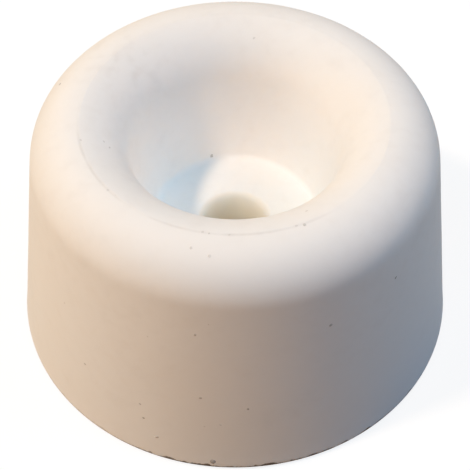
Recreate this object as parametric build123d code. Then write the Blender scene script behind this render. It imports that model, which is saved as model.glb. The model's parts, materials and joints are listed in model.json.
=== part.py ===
from build123d import *

import os
from math import cos, radians, sin, tan

# A round rubber bumper, moulded in one piece: a tapered body with a full round rim,
# a deep recess that hides the screw head, and a plain screw hole through the floor of the recess.
# The origin is the centre of the flat base, and +Z runs up the axis of the screw hole.

# Overall sizes, in millimetres
base_diameter = 38.0
height = 22.0

# Outside: side wall, base edge and shoulder, with the taper in degrees from the axis
side_draft = 7.8
base_edge_radius = 0.4
shoulder_radius = 4.1

# Mould line: a fine groove on the crest of the rim, where the two halves of the mould met
mould_line_width = 0.24
mould_line_depth = 0.08

# Recess: the lip leaves the mould line at a slight break, then rolls over into the wall (degrees)
lip_break = 9.5
lip_radius = 4.5
recess_draft = 9.0
floor_thickness = 9.7
floor_corner_radius = 0.5

# Screw hole
screw_hole_diameter = 5.5
screw_hole_edge_radius = 0.6

# Headings along the outline, in degrees anticlockwise from the +X direction
ALONG_BASE = 0.0
UP = 90.0
INWARD = 180.0
DOWN = 270.0


def heading(angle):
    """Unit direction for a heading in degrees."""
    return (cos(radians(angle)), sin(radians(angle)))


def tangent_length(radius, turn):
    """Distance from a sharp corner to where a fillet that turns by that many degrees begins."""
    return radius * tan(radians(abs(turn) / 2))


def outer_outline(hole_radius):
    """Lines and arcs from the screw hole along the base, up the side wall and over the shoulder."""
    side_heading = UP + side_draft
    edge_centre_radius = base_diameter / 2 - base_edge_radius
    shoulder_centre_height = height - shoulder_radius
    crest_radius = (
        edge_centre_radius
        - (shoulder_centre_height - base_edge_radius) * tan(radians(side_draft))
        - (shoulder_radius - base_edge_radius) / cos(radians(side_draft))
    )
    shoulder_start = (
        crest_radius + shoulder_radius * cos(radians(side_draft)),
        shoulder_centre_height + shoulder_radius * sin(radians(side_draft)),
    )
    base = Line((hole_radius, 0), (edge_centre_radius, 0))
    edge = JernArc(base @ 1, heading(ALONG_BASE), base_edge_radius, side_heading)
    side = Line(edge @ 1, shoulder_start)
    shoulder = JernArc(side @ 1, heading(side_heading), shoulder_radius, INWARD - side_heading)
    return [base, edge, side, shoulder]


def mould_line(crest):
    """The two faces of the fine groove that starts at the crest and runs inward."""
    valley = (crest.X - mould_line_width / 2, crest.Y - mould_line_depth)
    far_edge = (crest.X - mould_line_width, crest.Y)
    return [Line(crest, valley), Line(valley, far_edge)]


def recess_outline(lip_start, hole_radius):
    """Lip, wall, corner and floor of the recess, then the screw hole down to the base."""
    lip_heading = INWARD + lip_break
    wall_heading = DOWN - recess_draft
    lip = JernArc(lip_start, heading(lip_heading), lip_radius, wall_heading - lip_heading)

    lip_end = lip @ 1
    corner_turn = INWARD - wall_heading
    corner_drop = tangent_length(floor_corner_radius, corner_turn) * cos(radians(recess_draft))
    wall_drop = lip_end.Y - floor_thickness - corner_drop
    wall_end = (lip_end.X - wall_drop * tan(radians(recess_draft)), lip_end.Y - wall_drop)
    wall = Line(lip_end, wall_end)
    corner = JernArc(wall @ 1, heading(wall_heading), floor_corner_radius, corner_turn)

    floor = Line(corner @ 1, (hole_radius + screw_hole_edge_radius, floor_thickness))
    hole_edge = JernArc(floor @ 1, heading(INWARD), screw_hole_edge_radius, DOWN - INWARD)
    bore = Line(hole_edge @ 1, (hole_radius, 0))
    return [lip, wall, corner, floor, hole_edge, bore]


def bumper_body():
    """The whole bumper, its half section turned about the axis of the screw hole."""
    hole_radius = screw_hole_diameter / 2
    outside = outer_outline(hole_radius)
    groove = mould_line(outside[-1] @ 1)
    inside = recess_outline(groove[-1] @ 1, hole_radius)
    half_section = make_face(Plane.XZ * Curve(outside + groove + inside))
    return revolve(half_section, Axis.Z)


os.makedirs("parts", exist_ok=True)
export_step(bumper_body(), "parts/bumper_body.step")
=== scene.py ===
"""Looks of a round moulded rubber bumper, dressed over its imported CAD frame.

The bumper is one piece, so the scene holds its rubber body and the specks of dirt that lie on it.
Every length is in metres, in the frame of the CAD: the origin is the centre of the base, and +Z runs
up the axis of the screw hole.
"""

import json
import logging
import math
from collections.abc import Iterable, Iterator, Mapping
from dataclasses import dataclass, field
from enum import Enum, IntEnum

import bpy
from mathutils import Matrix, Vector
from mathutils.bvhtree import BVHTree

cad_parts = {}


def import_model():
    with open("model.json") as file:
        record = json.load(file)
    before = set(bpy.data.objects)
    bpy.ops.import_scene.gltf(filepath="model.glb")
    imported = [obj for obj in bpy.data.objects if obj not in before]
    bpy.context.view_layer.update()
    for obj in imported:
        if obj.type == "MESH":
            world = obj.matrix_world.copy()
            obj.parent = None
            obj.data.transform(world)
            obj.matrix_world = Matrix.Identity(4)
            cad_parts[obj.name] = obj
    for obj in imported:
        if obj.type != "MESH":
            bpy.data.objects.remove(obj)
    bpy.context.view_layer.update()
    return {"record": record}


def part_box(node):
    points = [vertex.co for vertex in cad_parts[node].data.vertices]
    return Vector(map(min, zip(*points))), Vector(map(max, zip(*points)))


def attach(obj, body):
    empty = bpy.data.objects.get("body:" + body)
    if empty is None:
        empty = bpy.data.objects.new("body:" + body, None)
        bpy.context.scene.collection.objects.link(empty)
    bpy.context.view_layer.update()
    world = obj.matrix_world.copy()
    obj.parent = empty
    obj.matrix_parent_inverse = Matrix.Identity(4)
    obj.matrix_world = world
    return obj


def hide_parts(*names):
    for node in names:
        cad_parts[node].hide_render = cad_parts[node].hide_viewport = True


MM = 0.001
BODY = "root"
CAD_NODE = "bumper_body"
PHOTO_SIDE = 470

# Attributes that the geometry hands to the finishes
LINE_SHOWS = "mould_line"
DARKNESS = "darkness"

# Directions in the half section, in degrees anticlockwise from straight outward
UP = 90.0
INWARD = 180.0
DOWN = -90.0

# Noise lies evenly about its middle, and a ball one across is scaled to the width of a speck
NOISE_MIDDLE = 0.5
UNIT_RADIUS = 0.5

log = logging.getLogger("bumper")

Colour = tuple[float, float, float]
Place = tuple[float, float, float]
Range = tuple[float, float]
Pixel = tuple[float, float]
Socket = bpy.types.NodeSocket
Feed = Socket | bpy.types.ID | float | int | str | tuple


def cosine(angle: float) -> float:
    """Cosine of an angle in degrees."""
    return math.cos(math.radians(angle))


def sine(angle: float) -> float:
    """Sine of an angle in degrees."""
    return math.sin(math.radians(angle))


def heading(azimuth: float) -> Vector:
    """Level direction for an azimuth in degrees, anticlockwise from +X, the right of the photograph."""
    return Vector((cosine(azimuth), sine(azimuth), 0.0))


def in_use(sockets: Iterable[Socket], name: str) -> Socket:
    """The socket of that name that the node's settings leave in use."""
    return next(socket for socket in sockets if socket.enabled and socket.name == name)


def stand(data: bpy.types.Camera | bpy.types.Light, place: Vector, backward: Vector) -> bpy.types.Object:
    """Stands a camera or a lamp in the scene.

    Args:
        data: The camera or the lamp.
        place: Where it stands.
        backward: The direction away from what it looks or shines at.

    Returns:
        Its object.
    """
    made = bpy.data.objects.new(data.name, data)
    made.location = place
    made.rotation_euler = backward.to_track_quat("Z", "Y").to_euler()
    bpy.context.scene.collection.objects.link(made)
    return made


@dataclass(frozen=True)
class Wiring:
    """A node tree that is being wired up, for geometry, a material or the world.

    Attributes:
        tree: The tree that the nodes go in.
    """

    tree: bpy.types.NodeTree

    @classmethod
    def blank(cls, owner: bpy.types.Material | bpy.types.World) -> "Wiring":
        """Empties the node tree of a material or the world, to be wired anew.

        Args:
            owner: The material or the world.

        Returns:
            Its tree.
        """
        owner.use_nodes = True
        owner.node_tree.nodes.clear()
        return cls(owner.node_tree)

    def node(
        self,
        kind: str,
        feeds: Mapping[str | int, Feed] | None = None,
        **setup: object,
    ) -> bpy.types.Node:
        """Adds a node, sets it up and feeds its inputs.

        Args:
            kind: Blender's name for the type of node.
            feeds: For an input's name or number, the socket to link it to or the plain value it takes.
                A colour is given without its alpha.
            **setup: The node's own settings.

        Returns:
            The new node.
        """
        made = self.tree.nodes.new(kind)
        for name, value in setup.items():
            setattr(made, name, value)
        for key, value in (feeds or {}).items():
            inlet = made.inputs[key] if isinstance(key, int) else in_use(made.inputs, key)
            if isinstance(value, Socket):
                self.tree.links.new(value, inlet)
            elif inlet.type == "RGBA":
                inlet.default_value = (*value, 1.0)
            else:
                inlet.default_value = value
        return made

    def place(self) -> Socket:
        """Coordinates on the piece."""
        return self.node("ShaderNodeTexCoord").outputs["Object"]

    def math(self, operation: str, *values: Feed) -> Socket:
        """Result of a Math node on one, two or three values."""
        return self.node("ShaderNodeMath", dict(enumerate(values)), operation=operation).outputs[0]

    def product(self, first: Feed, *others: Feed) -> Socket:
        """All the values multiplied together.

        Args:
            first: The first value.
            *others: The values that it is multiplied by.

        Returns:
            The socket that gives the product.
        """
        for other in others:
            first = self.math("MULTIPLY", first, other)
        return first

    def vector(self, operation: str, *values: Feed) -> Socket:
        """Vector that a Vector Math node makes of its inputs."""
        feeds = dict(enumerate(values))
        return self.node("ShaderNodeVectorMath", feeds, operation=operation).outputs["Vector"]

    def measure(self, operation: str, *values: Feed) -> Socket:
        """Number that a Vector Math node makes of its inputs."""
        feeds = dict(enumerate(values))
        return self.node("ShaderNodeVectorMath", feeds, operation=operation).outputs["Value"]

    def scaled(self, vector: Feed, factor: Feed) -> Socket:
        """The vector times a number."""
        feeds = {"Vector": vector, "Scale": factor}
        return self.node("ShaderNodeVectorMath", feeds, operation="SCALE").outputs["Vector"]

    def level(self, place: Feed) -> Socket:
        """Height of a place above the base."""
        return self.node("ShaderNodeSeparateXYZ", {"Vector": place}).outputs["Z"]

    def flat(self, place: Feed) -> Socket:
        """The place brought down to the height of the base."""
        return self.vector("MULTIPLY", place, (1.0, 1.0, 0.0))

    def radius(self, place: Feed) -> Socket:
        """Distance of a place from the axis."""
        return self.measure("LENGTH", self.flat(place))

    def toward(self, place: Feed, azimuth: float) -> Socket:
        """Cosine of the angle round the axis between a place and an azimuth in degrees."""
        outward = self.vector("NORMALIZE", self.flat(place))
        return self.measure("DOT_PRODUCT", outward, tuple(heading(azimuth)))

    def apart(self, first: Feed, second: Feed) -> Socket:
        """Difference between two numbers, without its sign."""
        return self.math("ABSOLUTE", self.math("SUBTRACT", first, second))

    def ramp(
        self,
        value: Feed,
        start: float,
        end: float,
        low: float = 0.0,
        high: float = 1.0,
    ) -> Socket:
        """Smooth step between two levels.

        Args:
            value: What the step follows.
            start: The value at which the step begins.
            end: The value at which it is over. It may be below start.
            low: Level at the start.
            high: Level at the end.

        Returns:
            The socket that gives the level.
        """
        if end < start:
            start, end, low, high = end, start, high, low
        feeds = {"Value": value, "From Min": start, "From Max": end, "To Min": low, "To Max": high}
        return self.node("ShaderNodeMapRange", feeds, interpolation_type="SMOOTHSTEP").outputs["Result"]

    def mixed(self, share: Feed, first: Feed, second: Feed) -> Socket:
        """Colour between two, where share 0 is the first."""
        feeds = {"Factor": share, "A": first, "B": second}
        return in_use(self.node("ShaderNodeMix", feeds, data_type="RGBA").outputs, "Result")


@dataclass(frozen=True)
class Mottle:
    """A blotchy pattern: smooth noise, drawn out between two levels.

    Attributes:
        size: Size of its patches.
        seed: Fixed number that sets the pattern.
        detail: Number of finer layers.
        start: Noise at which the pattern begins.
        full: Noise at which it is full.
        low: Level where it has not begun.
        high: Level where it is full.
    """

    size: float
    seed: int
    detail: int = 2
    start: float = 0.3
    full: float = 0.7
    low: float = 0.0
    high: float = 1.0

    def noise(self, wiring: Wiring, place: Feed) -> Socket:
        """The plain noise at a place, between 0 and 1."""
        feeds = {"Vector": place, "W": self.seed, "Scale": 1 / self.size, "Detail": self.detail}
        return wiring.node("ShaderNodeTexNoise", feeds, noise_dimensions="4D").outputs[0]

    def level(self, wiring: Wiring, place: Feed) -> Socket:
        """Level of the pattern at a place."""
        return wiring.ramp(self.noise(wiring, place), self.start, self.full, self.low, self.high)


@dataclass(frozen=True)
class ShapeTree(Wiring):
    """A Geometry Nodes tree whose inputs have names, run once and turned into a plain mesh.

    Attributes:
        inlets: For each named input, the socket inside the tree.
        values: For each input's identifier, the value that the modifier gives it.
    """

    inlets: dict[str, Socket] = field(default_factory=dict)
    values: dict[str, object] = field(default_factory=dict)

    @classmethod
    def start(cls, name: str, inputs: Mapping[str, tuple[str, object]]) -> "ShapeTree":
        """Makes a tree with an input for each named value.

        Args:
            name: The tree's name.
            inputs: For each input's name, its kind of socket and its value.

        Returns:
            The tree, with nothing wired yet.
        """
        tree = bpy.data.node_groups.new(name, "GeometryNodeTree")
        made = cls(tree)
        for label, (kind, value) in inputs.items():
            socket = tree.interface.new_socket(label, in_out="INPUT", socket_type=f"NodeSocket{kind}")
            made.values[socket.identifier] = value
        tree.interface.new_socket("Geometry", in_out="OUTPUT", socket_type="NodeSocketGeometry")
        entry = tree.nodes.new("NodeGroupInput")
        for label in inputs:
            made.inlets[label] = entry.outputs[label]
        return made

    def place(self) -> Socket:
        """Coordinates of the points."""
        return self.node("GeometryNodeInputPosition").outputs[0]

    def normal(self) -> Socket:
        """Direction in which the surface faces."""
        return self.node("GeometryNodeInputNormal").outputs[0]

    def shape(self, label: str) -> Socket:
        """Geometry of the object that a named input holds."""
        return self.node("GeometryNodeObjectInfo", {"Object": self.inlets[label]}).outputs["Geometry"]

    def random(self, low: Feed, high: Feed, seed: Feed) -> Socket:
        """Random number between two for each element, from a fixed seed."""
        feeds = {"Min": low, "Max": high, "Seed": seed}
        return in_use(self.node("FunctionNodeRandomValue", feeds, data_type="FLOAT").outputs, "Value")

    def keep(self, geometry: Feed, name: str, value: Feed, kind: str = "FLOAT") -> Socket:
        """Stores a value on the points of the geometry under a name.

        Args:
            geometry: What the value belongs to.
            name: The name of the attribute.
            value: Its value.
            kind: Blender's name for the type of value.

        Returns:
            The geometry with the attribute.
        """
        feeds = {"Geometry": geometry, "Name": name, "Value": value}
        stored = self.node("GeometryNodeStoreNamedAttribute", feeds, data_type=kind, domain="POINT")
        return stored.outputs[0]

    def kept(self, name: str, kind: str = "FLOAT") -> Socket:
        """Value that the points hold under a name."""
        held = self.node("GeometryNodeInputNamedAttribute", {"Name": name}, data_type=kind)
        return held.outputs["Attribute"]

    def moved(self, geometry: Feed, offset: Feed) -> Socket:
        """The geometry with each point moved by an offset."""
        feeds = {"Geometry": geometry, "Offset": offset}
        return self.node("GeometryNodeSetPosition", feeds).outputs["Geometry"]

    def end(self, geometry: Socket, material: Socket) -> None:
        """Ends the tree in realised geometry that wears one material.

        Args:
            geometry: What the tree has made.
            material: The input that holds the finish.
        """
        real = self.node("GeometryNodeRealizeInstances", {"Geometry": geometry}).outputs[0]
        dressed = self.node("GeometryNodeSetMaterial", {"Geometry": real, "Material": material}).outputs[0]
        self.node("NodeGroupOutput", {"Geometry": dressed})

    def run(self, name: str) -> bpy.types.Object:
        """Runs the tree and keeps what it makes.

        Args:
            name: The name of the piece.

        Returns:
            An object at the origin that holds the result as a plain mesh.
        """
        piece = bpy.data.objects.new(name, bpy.data.meshes.new(name))
        bpy.context.scene.collection.objects.link(piece)
        modifier = piece.modifiers.new(name, "NODES")
        modifier.node_group = self.tree
        for identifier, value in self.values.items():
            modifier[identifier] = value
        bpy.context.view_layer.update()
        evaluated = piece.evaluated_get(bpy.context.evaluated_depsgraph_get())
        made = bpy.data.meshes.new_from_object(evaluated)
        made.name = name
        piece.modifiers.clear()
        piece.data = made
        return piece


@dataclass(frozen=True)
class PhotoView:
    """The camera of the photograph, which looks down into the recess.

    Attributes:
        elevation: Angle above the horizon, in degrees.
        aim_height: Height on the axis that it looks at.
        distance: Distance from that point.
        lens: Focal length for the sensor below.
        sensor: Width of the sensor.
    """

    elevation: float = 49.7
    aim_height: float = 7.38 * MM
    distance: float = 108.3 * MM
    lens: float = 94.67
    sensor: float = 36.0

    @property
    def backward(self) -> Vector:
        """Direction from the aim point to the camera."""
        return Vector((0.0, -cosine(self.elevation), sine(self.elevation)))

    @property
    def eye(self) -> Vector:
        """Place of the camera."""
        return Vector((0.0, 0.0, self.aim_height)) + self.backward * self.distance

    def sight(self, pixel: Pixel) -> Vector:
        """Direction in which the camera sees a pixel of the photograph.

        Args:
            pixel: Column and row from the top left corner.

        Returns:
            The direction, of length 1.
        """
        right = Vector((1.0, 0.0, 0.0))
        up = self.backward.cross(right)
        reach = self.lens / self.sensor * PHOTO_SIDE
        across = (pixel[0] - PHOTO_SIDE / 2) / reach
        down = (pixel[1] - PHOTO_SIDE / 2) / reach
        return (right * across - up * down - self.backward).normalized()

    def place(self) -> None:
        """Makes the camera the scene's own."""
        data = bpy.data.cameras.new("photo_view")
        data.lens = self.lens
        data.sensor_width = self.sensor
        data.clip_start = MM
        bpy.context.scene.camera = stand(data, self.eye, self.backward)


@dataclass(frozen=True)
class HalfSection:
    """Half section of the bumper, drawn as lines and arcs in radius and height.

    Attributes:
        base_radius: Radius of the base.
        height: Height over all.
        hole_radius: Radius of the screw hole.
        floor_height: Height of the floor of the recess.
        side_draft: Taper of the side wall from the axis, in degrees.
        base_edge: Radius of the edge at the base.
        shoulder: Radius of the shoulder, which ends at the crest of the rim.
        line_width: Width of the mould line, which runs inward from the crest.
        lip_break: Angle by which the lip falls away at the mould line, in degrees.
        lip: Radius of the lip that rolls into the recess.
        recess_draft: Taper of the recess, in degrees.
        floor_corner: Radius between the recess and its floor.
        hole_edge: Radius at the top of the screw hole.
        step: Distance between points on the section.
        fine_step: Distance between points on small edges.
        line_step: Distance between points across the mould line.
    """

    base_radius: float
    height: float
    hole_radius: float
    floor_height: float
    side_draft: float = 7.8
    base_edge: float = 0.4 * MM
    shoulder: float = 4.1 * MM
    line_width: float = 0.24 * MM
    lip_break: float = 9.5
    lip: float = 4.5 * MM
    recess_draft: float = 9.0
    floor_corner: float = 0.5 * MM
    hole_edge: float = 0.6 * MM
    step: float = 0.4 * MM
    fine_step: float = 0.08 * MM
    line_step: float = 0.03 * MM

    @property
    def crest_radius(self) -> float:
        """Radius of the crest of the rim, where the mould line begins.

        Returns:
            The radius that the side wall and the shoulder lead to.
        """
        rise = self.height - self.shoulder - self.base_edge
        taper = rise * math.tan(math.radians(self.side_draft))
        rounding = (self.shoulder - self.base_edge) / cosine(self.side_draft)
        return self.base_radius - self.base_edge - taper - rounding

    @property
    def line_radius(self) -> float:
        """Radius of the middle of the mould line."""
        return self.crest_radius - self.line_width / 2

    def arc(self, centre: Vector, radius: float, start: float, end: float, step: float) -> list[Vector]:
        """Points along an arc.

        Args:
            centre: Its centre, in radius and height.
            radius: Its radius.
            start: Angle of its first point, in degrees from straight outward.
            end: Angle of its last point.
            step: Distance between points.

        Returns:
            The points, both ends among them.
        """
        count = max(2, math.ceil(abs(math.radians(end - start)) * radius / step))
        angles = [start + (end - start) * i / count for i in range(count + 1)]
        return [centre + Vector((cosine(angle), sine(angle))) * radius for angle in angles]

    def crest(self) -> list[Vector]:
        """Points across the mould line, from the crest inward.

        Returns:
            The points between its two edges.
        """
        count = math.ceil(self.line_width / self.line_step)
        radii = [self.crest_radius - self.line_width * i / count for i in range(1, count)]
        return [Vector((radius, self.height)) for radius in radii]

    def bends(self) -> list[list[Vector]]:
        """Bends of the section in order, from the base edge to the top of the screw hole.

        Returns:
            The points of each bend.
        """
        edge = Vector((self.base_radius - self.base_edge, self.base_edge))
        shoulder = Vector((self.crest_radius, self.height - self.shoulder))
        lip_start = Vector((self.crest_radius - self.line_width, self.height))
        lip = lip_start + Vector((sine(self.lip_break), -cosine(self.lip_break))) * self.lip
        wall_angle = INWARD - self.recess_draft
        wall_top = lip + Vector((cosine(wall_angle), sine(wall_angle))) * self.lip
        corner_height = self.floor_height + self.floor_corner
        wall_run = (wall_top.y - corner_height) * math.tan(math.radians(self.recess_draft))
        corner_run = self.floor_corner / cosine(self.recess_draft)
        corner = Vector((wall_top.x - wall_run - corner_run, corner_height))
        hole = Vector((self.hole_radius + self.hole_edge, self.floor_height - self.hole_edge))
        return [
            self.arc(edge, self.base_edge, DOWN, self.side_draft, self.fine_step),
            self.arc(shoulder, self.shoulder, self.side_draft, UP, self.step),
            self.crest(),
            self.arc(lip, self.lip, UP + self.lip_break, wall_angle, self.fine_step),
            self.arc(corner, self.floor_corner, -self.recess_draft, DOWN, self.fine_step),
            self.arc(hole, self.hole_edge, UP, INWARD, self.fine_step),
        ]

    def outline(self) -> Iterator[Vector]:
        """Closed outline of the section, with points along its straight runs too.

        Yields:
            Points in radius and height, anticlockwise from the foot of the screw hole.
        """
        stops = [Vector((self.hole_radius, 0.0))]
        for bend in self.bends():
            stops.extend(bend)
        for here, there in zip(stops, stops[1:] + stops[:1]):
            count = max(1, math.ceil((there - here).length / self.step))
            for i in range(count):
                yield here.lerp(there, i / count)


@dataclass(frozen=True)
class RubberFinish:
    """Matt off-white rubber, as it comes from the mould, with dirt in the mould line, painted contact
    shadow with some dirt along the base, and painted warm shade in the screw hole.

    Attributes:
        section: The half section, which says where the base, the mould line and the screw hole are.
        pale: Colour of the cleaner patches.
        warm: Colour of the yellowed patches.
        patches: Pattern of the yellowed patches.
        painted_hole_shade: Colour inside the screw hole, painted warm shade for the light that bounces
            round in it.
        deep_reach: Radii at which that colour begins and is full, for the radius of the screw hole.
        soak: Share of the light that soaks into the rubber there.
        soak_reach: Distance that the light goes in the rubber, the same for every colour.
        smudge: Colour of the smudges and the finger marks.
        smudges: Pattern of the faint smudges.
        flecks: Pattern of the finger marks.
        gathering: Pattern by which the finger marks gather in places.
        fleck_share: Most that a finger mark covers of the rubber.
        touched: Middle of the part of the lip where the finger marks are thickest.
        touch_reach: Distance from there at which they have thinned out.
        touch_gain: How much more they cover there.
        grime_and_contact_shade: Colour of the dirt that has worked in, also used for the painted contact
            shadow along the base.
        base_contact_shade_and_grime: Most height of the dark edge at the base, painted contact shadow with
            some dirt.
        base_fade: Height over which that dark edge fades.
        base_rag: Pattern of its ragged top.
        base_rim: Distances in from the edge of the base at which it has faded and is full.
        base_front: Azimuth at which it is thickest, in degrees.
        base_spread: Angles from there at which it has thinned out and is full, in degrees.
        base_least: Share of it that is left elsewhere.
        line_grime: Most that dirt covers of the mould line.
        line_reach: Distance from the mould line at which that dirt has faded.
        line_thinning: Pattern by which that dirt is thinner in places.
        grain: Pattern of the grain of the surface.
        grain_depth: Height of that grain.
        roughness: Pattern of the roughness.
        gloss: Specular level.
    """

    section: HalfSection
    pale: Colour = (0.985, 0.970, 0.948)
    warm: Colour = (0.978, 0.955, 0.925)
    patches: Mottle = Mottle(9.0 * MM, seed=1, detail=4)
    painted_hole_shade: Colour = (0.998, 0.908, 0.800)
    deep_reach: Range = (1.2, 1.05)
    soak: float = 0.85
    soak_reach: float = 5.0 * MM
    smudge: Colour = (0.74, 0.70, 0.66)
    smudges: Mottle = Mottle(4.0 * MM, seed=8, detail=5, start=0.55, full=0.75, high=0.18)
    flecks: Mottle = Mottle(1.2 * MM, seed=12, detail=3, start=0.42, full=0.75)
    gathering: Mottle = Mottle(9.0 * MM, seed=13, start=0.40, full=0.60, low=0.25)
    fleck_share: float = 0.12
    touched: Place = (-8.6 * MM, 6.6 * MM, 21.5 * MM)
    touch_reach: float = 6.0 * MM
    touch_gain: float = 1.2
    grime_and_contact_shade: Colour = (0.20, 0.16, 0.13)
    base_contact_shade_and_grime: float = 1.05 * MM
    base_fade: float = 0.15 * MM
    base_rag: Mottle = Mottle(0.9 * MM, seed=7, detail=4)
    base_rim: Range = (1.5 * MM, 0.3 * MM)
    base_front: float = 284.0
    base_spread: Range = (50.0, 25.0)
    base_least: float = 0.25
    line_grime: float = 0.14
    line_reach: float = 0.20 * MM
    line_thinning: Mottle = Mottle(1.6 * MM, seed=9, detail=3, start=0.40, full=0.65, low=0.55)
    grain: Mottle = Mottle(0.35 * MM, seed=3, detail=3)
    grain_depth: float = 0.006 * MM
    roughness: Mottle = Mottle(9.0 * MM, seed=5, low=0.68, high=0.80)
    gloss: float = 0.1

    def material(self) -> bpy.types.Material:
        """Makes the rubber.

        Returns:
            The material.
        """
        made = bpy.data.materials.new("moulded_rubber")
        wiring = Wiring.blank(made)
        place = wiring.place()
        clean = self.clean_colour(wiring, place)
        grain = self.grain.noise(wiring, place)
        bump = wiring.node("ShaderNodeBump", {"Distance": self.grain_depth, "Height": grain})
        feeds = {
            # Darkened by dirt in the mould line, and along the base by painted contact shadow with some
            # dirt.
            "Base Color": wiring.mixed(self.grime_and_contact_shade_share(wiring, place), clean, self.grime_and_contact_shade),
            "Roughness": self.roughness.level(wiring, place),
            "Normal": bump.outputs["Normal"],
            "Specular IOR Level": self.gloss,
            "Subsurface Weight": wiring.product(self.hole_share(wiring, place), self.soak),
            "Subsurface Radius": (1.0, 1.0, 1.0),
            "Subsurface Scale": self.soak_reach,
        }
        shader = wiring.node("ShaderNodeBsdfPrincipled", feeds)
        wiring.node("ShaderNodeOutputMaterial", {"Surface": shader.outputs[0]})
        return made

    def clean_colour(self, wiring: Wiring, place: Socket) -> Socket:
        """Colour of the rubber before the base and the mould line are darkened: soft patches, faint smudges
        and painted warm shade in the screw hole.

        Args:
            wiring: The material's tree.
            place: The coordinates on the bumper.

        Returns:
            The socket that gives the colour.
        """
        rubber = wiring.mixed(self.patches.level(wiring, place), self.pale, self.warm)
        away = wiring.measure("DISTANCE", place, self.touched)
        thicker = wiring.ramp(away, self.touch_reach, 0.0, 0.0, self.touch_gain)
        gathered = wiring.math("ADD", self.gathering.level(wiring, place), thicker)
        marked = wiring.product(self.flecks.level(wiring, place), gathered, self.fleck_share)
        soiled = wiring.math("MAXIMUM", self.smudges.level(wiring, place), marked)
        rubber = wiring.mixed(soiled, rubber, self.smudge)
        # Painted warm shade inside the screw hole.
        return wiring.mixed(self.hole_share(wiring, place), rubber, self.painted_hole_shade)

    def hole_share(self, wiring: Wiring, place: Socket) -> Socket:
        """How far a place is inside the screw hole, from 0 on the floor of the recess to 1 on its wall."""
        limits = [reach * self.section.hole_radius for reach in self.deep_reach]
        return wiring.ramp(wiring.radius(place), *limits)

    def grime_and_contact_shade_share(self, wiring: Wiring, place: Socket) -> Socket:
        """Share of the rubber that is darkened: painted contact shadow with some dirt along the base, and
        dirt in the mould line.

        Args:
            wiring: The material's tree.
            place: The coordinates on the bumper.

        Returns:
            The socket that gives the share.
        """
        shows = wiring.node("ShaderNodeAttribute", attribute_name=LINE_SHOWS).outputs["Fac"]
        off_line = wiring.apart(wiring.radius(place), self.section.line_radius)
        near = wiring.ramp(off_line, self.line_reach, 0.0)
        line = wiring.product(shows, near, self.line_thinning.level(wiring, place), self.line_grime)
        return wiring.math("MAXIMUM", self.base_shade_and_grime_share(wiring, place), line)

    def base_shade_and_grime_share(self, wiring: Wiring, place: Socket) -> Socket:
        """Share of the rubber darkened along the edge of the base: painted contact shadow with some dirt.

        Args:
            wiring: The material's tree.
            place: The coordinates on the bumper.

        Returns:
            The socket that gives the share.
        """
        # Painted contact shadow with some dirt: a ragged dark band along the base edge, thickest at the
        # front.
        top = wiring.product(self.base_rag.noise(wiring, place), self.base_contact_shade_and_grime)
        low = wiring.ramp(wiring.math("SUBTRACT", top, wiring.level(place)), 0.0, self.base_fade)
        inside = wiring.math("SUBTRACT", self.section.base_radius, wiring.radius(place))
        limits = [cosine(angle) for angle in self.base_spread]
        around = wiring.ramp(wiring.toward(place, self.base_front), *limits, self.base_least, 1.0)
        return wiring.product(low, wiring.ramp(inside, *self.base_rim), around)


@dataclass(frozen=True)
class DirtFinish:
    """Dry dirt, from faint to dark by the darkness that each speck carries.

    Attributes:
        faint: Colour of the faintest dirt.
        dark: Colour of the darkest dirt.
        crumbs: Pattern of fainter and darker crumbs, as shares of the darkness of the speck.
        roughness: Its roughness.
    """

    faint: Colour = (0.97, 0.95, 0.92)
    dark: Colour = (0.27, 0.23, 0.20)
    crumbs: Mottle = Mottle(0.1 * MM, seed=2, low=0.8, high=1.2)
    roughness: float = 0.9

    def material(self) -> bpy.types.Material:
        """Makes the dirt.

        Returns:
            The material.
        """
        made = bpy.data.materials.new("dry_dirt")
        wiring = Wiring.blank(made)
        darkness = wiring.node("ShaderNodeAttribute", attribute_name=DARKNESS).outputs["Fac"]
        share = wiring.product(darkness, self.crumbs.level(wiring, wiring.place()))
        feeds = {"Base Color": wiring.mixed(share, self.faint, self.dark), "Roughness": self.roughness}
        shader = wiring.node("ShaderNodeBsdfPrincipled", feeds)
        wiring.node("ShaderNodeOutputMaterial", {"Surface": shader.outputs[0]})
        return made


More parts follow.
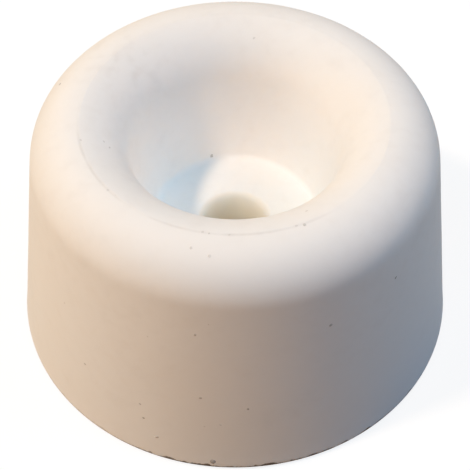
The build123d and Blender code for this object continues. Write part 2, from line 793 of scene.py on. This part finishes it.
@dataclass(frozen=True)
class RubberBody:
    """The bumper itself, its half section turned about the axis.

    Attributes:
        section: The half section.
        finish: The rubber.
        segments: Faces round the bumper.
        line_depth: Depth of the mould line.
        line_faint: Share of the depth that is left where the line is faint.
        line_middle: Azimuth of the middle of the stretch where the line shows, in degrees.
        line_reach: Angle from there to where the line has faded, in degrees.
        line_gap: Azimuth of the short gap in that stretch, in degrees.
        gap_reach: Angle from the middle of the gap to its ends, in degrees.
        line_fade: Angle over which the line fades at the ends of that stretch, in degrees.
        gap_fade: Angle over which it fades at the ends of the gap, in degrees.
        waviness: Most that the surface sinks below its true shape.
        waves: Pattern of those waves.
        wave_foot: Heights above the flat base at which the waves begin and are full.
        smooth_angle: Angle past which an edge is sharp, in degrees.
        rail: Radius of the circle that carries the section round.
    """

    section: HalfSection
    finish: RubberFinish
    segments: int = 320
    line_depth: float = 0.010 * MM
    line_faint: float = 0.12
    line_middle: float = 246.0
    line_reach: float = 60.0
    line_gap: float = 233.4
    gap_reach: float = 8.1
    line_fade: float = 10.0
    gap_fade: float = 5.0
    waviness: float = 0.05 * MM
    waves: Mottle = Mottle(6.0 * MM, seed=4)
    wave_foot: Range = (0.4 * MM, 1.6 * MM)
    smooth_angle: float = 40.0
    rail: float = 1.0 * MM

    def half_section(self) -> bpy.types.Object:
        """Draws the half section as a closed curve, beside the rail that carries it.

        Returns:
            The curve, whose X runs outward and whose Y runs down.
        """
        curve = bpy.data.curves.new("half_section", "CURVE")
        points = list(self.section.outline())[::-1]
        spline = curve.splines.new("POLY")
        spline.points.add(len(points) - 1)
        for spot, point in zip(spline.points, points):
            spot.co = (point.x - self.rail, -point.y, 0.0, 1.0)
        spline.use_cyclic_u = True
        return bpy.data.objects.new("half_section", curve)

    def build(self) -> bpy.types.Object:
        """Turns the section, sinks the mould line into it and gives it the unevenness of moulded rubber.

        Returns:
            The body.
        """
        section = self.half_section()
        inputs = {
            "Half Section": ("Object", section),
            "Segments": ("Int", self.segments),
            "Rail": ("Float", self.rail),
            "Line Radius": ("Float", self.section.line_radius),
            "Line Depth": ("Float", self.line_depth),
            "Waviness": ("Float", self.waviness),
            "Smooth Angle": ("Float", math.radians(self.smooth_angle)),
            "Rubber": ("Material", self.finish.material()),
        }
        tree = ShapeTree.start("turned_body", inputs)
        feeds = {"Resolution": tree.inlets["Segments"], "Radius": tree.inlets["Rail"]}
        circle = tree.node("GeometryNodeCurvePrimitiveCircle", feeds).outputs["Curve"]
        feeds = {"Curve": circle, "Profile Curve": tree.shape("Half Section")}
        turned = tree.node("GeometryNodeCurveToMesh", feeds).outputs["Mesh"]
        waved = self.waved(tree, self.lined(tree, turned))
        tree.end(self.shaded(tree, waved), tree.inlets["Rubber"])
        piece = tree.run("rubber_body")
        bpy.data.objects.remove(section)
        return piece

    def lined(self, tree: ShapeTree, turned: Socket) -> Socket:
        """Sinks the mould line into the crest of the rim, and keeps where it shows for the finish.

        Args:
            tree: The body's tree.
            turned: The turned section.

        Returns:
            The body with its mould line.
        """
        place = tree.place()
        off_line = tree.apart(tree.radius(place), tree.inlets["Line Radius"])
        groove = tree.ramp(off_line, self.section.line_width / 2, 0.0)
        foot = self.section.height - self.section.line_width
        on_top = tree.math("GREATER_THAN", tree.level(place), foot)
        shows = tree.product(on_top, self.line_strength(tree, place))
        drop = tree.product(groove, shows, tree.inlets["Line Depth"], -1.0)
        offset = tree.node("ShaderNodeCombineXYZ", {"Z": drop}).outputs[0]
        return tree.moved(tree.keep(turned, LINE_SHOWS, shows), offset)

    def line_strength(self, tree: ShapeTree, place: Socket) -> Socket:
        """How strongly the mould line shows, from faint to 1.

        Args:
            tree: The body's tree.
            place: The places on the body.

        Returns:
            The socket that gives the strength.
        """
        far = cosine(self.line_reach)
        near = cosine(self.line_reach - self.line_fade)
        shows = tree.ramp(tree.toward(place, self.line_middle), far, near, self.line_faint, 1.0)
        within = cosine(self.gap_reach - self.gap_fade)
        past = cosine(self.gap_reach)
        unbroken = tree.ramp(tree.toward(place, self.line_gap), within, past, self.line_faint, 1.0)
        return tree.math("MINIMUM", shows, unbroken)

    def waved(self, tree: ShapeTree, lined: Socket) -> Socket:
        """Sinks the surface by soft noise, and leaves the base flat.

        Args:
            tree: The body's tree.
            lined: The body so far.

        Returns:
            The uneven body.
        """
        place = tree.place()
        clear = tree.ramp(tree.level(place), *self.wave_foot)
        sink = tree.product(self.waves.noise(tree, place), clear, tree.inlets["Waviness"], -1.0)
        return tree.moved(lined, tree.scaled(tree.normal(), sink))

    def shaded(self, tree: ShapeTree, body: Socket) -> Socket:
        """Shades the faces smoothly, apart from sharp edges.

        Args:
            tree: The body's tree.
            body: The body so far.

        Returns:
            The shaded body.
        """
        smooth = tree.node("GeometryNodeSetShadeSmooth", {"Geometry": body}).outputs["Geometry"]
        angle = tree.node("GeometryNodeInputMeshEdgeAngle").outputs["Unsigned Angle"]
        sharp = tree.math("GREATER_THAN", angle, tree.inlets["Smooth Angle"])
        feeds = {"Geometry": smooth, "Selection": sharp, "Shade Smooth": False}
        return tree.node("GeometryNodeSetShadeSmooth", feeds, domain="EDGE").outputs["Geometry"]

    def dress(self, piece: bpy.types.Object) -> None:
        """Puts the body in the place of the CAD node.

        Args:
            piece: The body.
        """
        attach(piece, BODY)
        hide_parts(CAD_NODE)


class Speck(Enum):
    """Specks that the photograph shows: column and row, width in millimetres, and darkness from 0 to 1."""

    RIM_LEFT = (60, 84, 0.31, 0.42)
    RIM_BACK = (254, 38, 0.30, 0.19)
    RIM_FRONT_LEFT = (191, 248, 0.28, 0.20)
    RIM_FRONT = (209.5, 256, 0.28, 0.20)
    LIP_LEFT = (109.5, 147.5, 0.28, 0.26)
    LIP_LEFT_SMALL = (104, 141.5, 0.26, 0.21)
    LIP_RIGHT = (306.5, 211, 0.28, 0.24)
    LINE_FAR_LEFT = (80.7, 140, 0.26, 0.20)
    LINE_LEFT_HIGH = (90.4, 168.6, 0.24, 0.16)
    LINE_LEFT_BESIDE = (103, 184.7, 0.20, 0.12)
    LINE_LEFT = (108, 190, 0.28, 0.22)
    LINE_LEFT_LOW = (115, 195.6, 0.20, 0.11)
    LINE_FRONT_LEFT = (202.5, 232, 0.28, 0.24)
    LINE_FRONT = (209, 233.3, 0.25, 0.32)
    LINE_FRONT_SMALL = (229.3, 234.8, 0.24, 0.26)
    LINE_RIGHT_SMALL = (296.5, 226, 0.30, 0.22)
    LINE_RIGHT = (304.6, 224.6, 0.29, 0.34)
    RECESS_FOOT = (211.6, 156.7, 0.32, 0.50)
    SHOULDER_LEFT = (64.5, 303, 0.24, 0.20)
    SHOULDER_FRONT = (208.5, 324.5, 0.18, 0.18)
    SHOULDER_FRONT_LEFT = (147.5, 336.5, 0.18, 0.15)
    SIDE_UPPER_LEFT = (85, 364, 0.30, 0.46)
    SIDE_LEFT_HIGH = (140, 404, 0.27, 0.46)
    SIDE_LEFT_LOW = (143.4, 418, 0.25, 0.60)
    SIDE_LEFT_FOOT = (156.8, 437, 0.42, 0.38)
    SIDE_FRONT_HIGH = (195, 335, 0.30, 0.42)
    SIDE_FRONT_LEFT = (200.4, 398, 0.32, 0.45)
    SIDE_FRONT_PAIR_LEFT = (204.5, 426.5, 0.18, 0.20)
    SIDE_FRONT_PAIR_RIGHT = (220.5, 425, 0.22, 0.28)
    SIDE_FRONT_FOOT = (212.8, 461.6, 0.60, 0.64)
    SIDE_FRONT = (248, 409.2, 0.27, 0.60)
    SIDE_RIGHT_HIGH = (395.8, 277.6, 0.30, 0.64)
    SIDE_RIGHT = (330.8, 325.2, 0.33, 0.58)
    RECESS_FOOT_TOP = (211.6, 155.3, 0.30, 0.48)


class Draw(IntEnum):
    """Random draws for each speck, as an offset from the seed of the scatter."""

    SPIN = 1
    SLIMNESS = 2
    DARKNESS = 3


@dataclass(frozen=True)
class DirtSpecks:
    """Specks of dirt on the rubber: those that the photograph shows, and a like scatter where it can't see.

    Attributes:
        finish: The dirt.
        view: The camera, which places the specks that are seen.
        hidden_density: Specks on a square metre of the side that is hidden.
        hidden_width: Least and most width of those specks.
        hidden_darkness: Least and most darkness of those specks.
        hidden_limit: Cosine of the angle to the camera's direction, below which a face is hidden.
        base_limit: Upward part of the normal, below which a face belongs to the base.
        clean_reach: Radius that stays clean round the screw hole, for the radius of the hole.
        ball_detail: Subdivisions of the ball that a speck is made from.
        slimness: Least share of its length that a speck is wide.
        flatness: Share of its width that a speck is high.
        sunk: Share of that height by which its middle lies below the surface.
        crumble: How far the surface of a speck is uneven.
        crumbling: Pattern of that unevenness.
        seed: Seed of the scatter.
    """

    finish: DirtFinish
    view: PhotoView
    hidden_density: float = 9000.0
    hidden_width: Range = (0.16 * MM, 0.30 * MM)
    hidden_darkness: Range = (0.15, 0.55)
    hidden_limit: float = 0.05
    base_limit: float = -0.5
    clean_reach: float = 1.5
    ball_detail: int = 2
    slimness: float = 0.6
    flatness: float = 0.2
    sunk: float = 0.2
    crumble: float = 0.04 * MM
    crumbling: Mottle = Mottle(0.08 * MM, seed=6)
    seed: int = 11

    def spots(self, body: bpy.types.Object) -> bpy.types.Object:
        """Marks where the camera sees each speck on the body.

        Args:
            body: The rubber body.

        Returns:
            An object with a point for each speck, which holds its width, its darkness and the way the
            rubber faces there.
        """
        shape = BVHTree.FromObject(body, bpy.context.evaluated_depsgraph_get())
        places: list[Vector] = []
        facings: list[float] = []
        widths: list[float] = []
        shades: list[float] = []
        for speck in Speck:
            column, row, width, darkness = speck.value
            place, normal, _, _ = shape.ray_cast(self.view.eye, self.view.sight((column, row)))
            places.append(place)
            facings.extend(normal)
            widths.append(width * MM)
            shades.append(darkness)
        mesh = bpy.data.meshes.new("speck_spots")
        mesh.from_pydata(places, [], [])
        mesh.attributes.new("facing", "FLOAT_VECTOR", "POINT").data.foreach_set("vector", facings)
        mesh.attributes.new("width", "FLOAT", "POINT").data.foreach_set("value", widths)
        mesh.attributes.new(DARKNESS, "FLOAT", "POINT").data.foreach_set("value", shades)
        return bpy.data.objects.new("speck_spots", mesh)

    def build(self, body: bpy.types.Object, hole_radius: float) -> bpy.types.Object:
        """Sets a crumb of dirt on every spot.

        Args:
            body: The rubber body.
            hole_radius: Radius of the screw hole, which stays clean.

        Returns:
            The specks, as one piece.
        """
        spots = self.spots(body)
        inputs = {
            "Spots": ("Object", spots),
            "Body": ("Object", body),
            "Density": ("Float", self.hidden_density),
            "Least Width": ("Float", self.hidden_width[0]),
            "Most Width": ("Float", self.hidden_width[1]),
            "Clean Radius": ("Float", self.clean_reach * hole_radius),
            "Seed": ("Int", self.seed),
            "Dirt": ("Material", self.finish.material()),
        }
        tree = ShapeTree.start("dirt_specks", inputs)
        join = tree.node("GeometryNodeJoinGeometry", {"Geometry": self.scattered(tree)})
        tree.tree.links.new(tree.shape("Spots"), join.inputs["Geometry"])
        tree.end(self.crumbs(tree, join.outputs["Geometry"]), tree.inlets["Dirt"])
        piece = tree.run("dirt_specks")
        bpy.data.objects.remove(spots)
        return piece

    def scattered(self, tree: ShapeTree) -> Socket:
        """Scatters spots over what the photograph can't see, apart from the base and the screw hole.

        Args:
            tree: The specks' tree.

        Returns:
            Points with a facing, a width and a darkness.
        """
        normal = tree.normal()
        to_camera = tree.measure("DOT_PRODUCT", normal, tuple(self.view.backward))
        hidden = tree.math("LESS_THAN", to_camera, self.hidden_limit)
        off_base = tree.math("GREATER_THAN", tree.level(normal), self.base_limit)
        off_hole = tree.math("GREATER_THAN", tree.radius(tree.place()), tree.inlets["Clean Radius"])
        feeds = {
            "Mesh": tree.shape("Body"),
            "Selection": tree.product(hidden, off_base, off_hole),
            "Density": tree.inlets["Density"],
            "Seed": tree.inlets["Seed"],
        }
        scatter = tree.node("GeometryNodeDistributePointsOnFaces", feeds)
        faced = tree.keep(scatter.outputs["Points"], "facing", scatter.outputs["Normal"], "FLOAT_VECTOR")
        width = tree.random(tree.inlets["Least Width"], tree.inlets["Most Width"], tree.inlets["Seed"])
        darkness = tree.random(*self.hidden_darkness, self.seed + Draw.DARKNESS)
        return tree.keep(tree.keep(faced, "width", width), DARKNESS, darkness)

    def crumbs(self, tree: ShapeTree, spots: Socket) -> Socket:
        """Lays a flat uneven crumb on each spot, more than half sunk in the rubber.

        Args:
            tree: The specks' tree.
            spots: The points, each with a facing and a width.

        Returns:
            The crumbs.
        """
        feeds = {"Radius": UNIT_RADIUS, "Subdivisions": self.ball_detail}
        ball = tree.node("GeometryNodeMeshIcoSphere", feeds).outputs["Mesh"]
        feeds = {
            "Points": spots,
            "Instance": tree.moved(ball, (0.0, 0.0, -self.sunk)),
            "Rotation": self.turn(tree),
            "Scale": self.spread(tree),
        }
        placed = tree.node("GeometryNodeInstanceOnPoints", feeds).outputs["Instances"]
        real = tree.node("GeometryNodeRealizeInstances", {"Geometry": placed}).outputs[0]
        uneven = tree.math("SUBTRACT", self.crumbling.noise(tree, tree.place()), NOISE_MIDDLE)
        worn = tree.moved(real, tree.scaled(tree.normal(), tree.product(uneven, self.crumble)))
        return tree.node("GeometryNodeSetShadeSmooth", {"Geometry": worn}).outputs["Geometry"]

    def turn(self, tree: ShapeTree) -> Socket:
        """Rotation that lays a crumb on the rubber, spun at random.

        Args:
            tree: The specks' tree.

        Returns:
            The socket that gives the rotation.
        """
        feeds = {"Vector": tree.kept("facing", "FLOAT_VECTOR")}
        laid = tree.node("FunctionNodeAlignRotationToVector", feeds, axis="Z").outputs["Rotation"]
        feeds = {"Axis": (0.0, 0.0, 1.0), "Angle": tree.random(0.0, math.tau, self.seed + Draw.SPIN)}
        spin = tree.node("FunctionNodeAxisAngleToRotation", feeds).outputs["Rotation"]
        feeds = {"Rotation": laid, "Rotate By": spin}
        return tree.node("FunctionNodeRotateRotation", feeds, rotation_space="LOCAL").outputs["Rotation"]

    def spread(self, tree: ShapeTree) -> Socket:
        """Length, width and height of a crumb.

        Args:
            tree: The specks' tree.

        Returns:
            The socket that gives the three sizes.
        """
        width = tree.kept("width")
        slim = tree.product(width, tree.random(self.slimness, 1.0, self.seed + Draw.SLIMNESS))
        feeds = {"X": width, "Y": slim, "Z": tree.product(width, self.flatness)}
        return tree.node("ShaderNodeCombineXYZ", feeds).outputs[0]

    def dress(self, piece: bpy.types.Object) -> None:
        """Makes the specks ride on the bumper."""
        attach(piece, BODY)


@dataclass(frozen=True)
class Lamp:
    """A round lamp that shines at the bumper.

    Attributes:
        name: Its name.
        azimuth: Where it stands, in degrees anticlockwise from the right of the photograph.
        elevation: Its height above the horizon, in degrees.
        level: Brightness, per colour, of a white card that faces it.
        distance: Its distance from the middle of the bumper.
        width: Its diameter.
    """

    name: str
    azimuth: float
    elevation: float
    level: Colour
    distance: float = 0.50
    width: float = 0.30

    def place(self, aim: Vector) -> None:
        """Hangs the lamp.

        Args:
            aim: The point that it shines at.
        """
        lift = Vector((0.0, 0.0, sine(self.elevation)))
        backward = heading(self.azimuth) * cosine(self.elevation) + lift
        strongest = max(self.level)
        data = bpy.data.lights.new(self.name, "AREA")
        data.shape = "DISK"
        data.size = self.width
        data.color = tuple(part / strongest for part in self.level)
        data.energy = strongest * math.pi**2 * self.distance**2
        stand(data, aim + backward * self.distance, backward)


@dataclass(frozen=True)
class Studio:
    """Floor, lamps and the white backdrop.

    Attributes:
        lamps: The lamps.
        backdrop: Colour behind the floor, which is seen but gives no light.
        floor_bounce: Colour that the floor throws back at the bumper.
        shade_bounce: Colour that it throws back round the bumper's own shade, a painted shadow in the
            floor's bounce.
        shade_middle: Middle of that shade.
        shade_reach: Distances from there at which the shade begins to fade and has faded.
        floor_glow: Brightness that the floor shows by itself.
        floor_shade: Share of the lamps' light that the floor shows, which keeps the shadow.
        floor_side: Side of the floor.
    """

    lamps: tuple[Lamp, ...] = (
        Lamp("window_lamp", 195, 58, (0.52, 0.39, 0.275), distance=0.45, width=0.05),
        Lamp("left_low_fill", 180, 15, (0.33, 0.235, 0.155)),
        Lamp("left_fill", 180, 45, (0.01, 0.08, 0.12)),
        Lamp("front_low_fill", 270, 15, (0.06, 0.03, 0.01)),
        Lamp("front_fill", 270, 45, (0.11, 0.03, 0.00)),
        Lamp("front_high_fill", 270, 70, (0.03, 0.145, 0.22)),
        Lamp("back_right_fill", 45, 45, (0.37, 0.225, 0.11)),
        Lamp("right_fill", 0, 45, (0.03, 0.16, 0.29)),
    )
    backdrop: Colour = (1.0, 1.0, 1.0)
    floor_bounce: Colour = (0.28, 0.23, 0.16)
    shade_bounce: Colour = (0.00, 0.05, 0.12)
    shade_middle: Place = (26.0 * MM, -8.0 * MM, 0.0)
    shade_reach: Range = (8.0 * MM, 24.0 * MM)
    floor_glow: float = 0.82
    floor_shade: float = 0.25
    floor_side: float = 4.0

    def seen(self, wiring: Wiring) -> Socket:
        """Tells what the camera sees, straight, mirrored or through glass, from what only lights.

        Args:
            wiring: The material's or the world's tree.

        Returns:
            The socket that gives 1 where it is seen and 0 where it only lights.
        """
        path = wiring.node("ShaderNodeLightPath").outputs
        mirrored = wiring.math("MAXIMUM", path["Is Glossy Ray"], path["Is Transmission Ray"])
        return wiring.math("MAXIMUM", path["Is Camera Ray"], mirrored)

    def floor_material(self) -> bpy.types.Material:
        """Makes the floor white to the eye, with the shadow kept.

        Returns:
            The material.
        """
        made = bpy.data.materials.new("pale_floor")
        wiring = Wiring.blank(made)
        grey = (self.floor_shade, self.floor_shade, self.floor_shade)
        lit = wiring.node("ShaderNodeBsdfDiffuse", {"Color": grey})
        glow = wiring.node("ShaderNodeEmission", {"Strength": self.floor_glow})
        shown = wiring.node("ShaderNodeAddShader", {0: lit.outputs[0], 1: glow.outputs[0]})
        # Painted shadow: the floor throws back less light round shade_middle, where the bumper's shade
        # lies.
        away = wiring.measure("DISTANCE", wiring.place(), self.shade_middle)
        thrown = wiring.mixed(wiring.ramp(away, *self.shade_reach), self.shade_bounce, self.floor_bounce)
        bounce = wiring.node("ShaderNodeBsdfDiffuse", {"Color": thrown})
        feeds = {0: self.seen(wiring), 1: bounce.outputs[0], 2: shown.outputs[0]}
        mixed = wiring.node("ShaderNodeMixShader", feeds)
        wiring.node("ShaderNodeOutputMaterial", {"Surface": mixed.outputs[0]})
        return made

    def build_floor(self) -> None:
        """Lays the floor."""
        half = self.floor_side / 2
        corners = [(-half, -half, 0.0), (half, -half, 0.0), (half, half, 0.0), (-half, half, 0.0)]
        mesh = bpy.data.meshes.new("pale_floor")
        mesh.from_pydata(corners, [], [(0, 1, 2, 3)])
        mesh.materials.append(self.floor_material())
        floor = bpy.data.objects.new("pale_floor", mesh)
        bpy.context.scene.collection.objects.link(floor)

    def build_world(self) -> None:
        """Hangs the backdrop."""
        world = bpy.data.worlds.new("white_backdrop")
        wiring = Wiring.blank(world)
        feeds = {"Color": self.backdrop, "Strength": self.seen(wiring)}
        shown = wiring.node("ShaderNodeBackground", feeds)
        wiring.node("ShaderNodeOutputWorld", {"Surface": shown.outputs[0]})
        bpy.context.scene.world = world

    def build(self, aim: Vector) -> None:
        """Sets the whole stage.

        Args:
            aim: The point that the lamps shine at.
        """
        self.build_floor()
        self.build_world()
        for lamp in self.lamps:
            lamp.place(aim)


def mount(record: Mapping[str, list], name: str) -> Mapping[str, object]:
    """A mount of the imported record, by name."""
    return next(entry for entry in record["mounts"] if entry["name"] == name)


def main() -> None:
    """Builds the bumper and its stage, and logs how many faces each piece has."""
    logging.basicConfig(level=logging.INFO, format="%(name)s: %(message)s")
    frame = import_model()
    low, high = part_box(CAD_NODE)
    bpy.context.scene.view_settings.view_transform = "Standard"
    view = PhotoView()
    view.place()

    section = HalfSection(
        base_radius=high.x,
        height=high.z,
        hole_radius=mount(frame["record"], "screw_hole")["dims"]["r_mm"] * MM,
        floor_height=mount(frame["record"], "screw_seat")["pos_m"][2],
    )
    body = RubberBody(section, RubberFinish(section))
    rubber = body.build()
    body.dress(rubber)
    log.info("%s has %d faces", rubber.name, len(rubber.data.polygons))

    dirt = DirtSpecks(DirtFinish(), view)
    specks = dirt.build(rubber, section.hole_radius)
    dirt.dress(specks)
    log.info("%s has %d faces", specks.name, len(specks.data.polygons))

    Studio().build(aim=(low + high) / 2)
    log.info("stage is set")


if __name__ == "__main__":
    main()
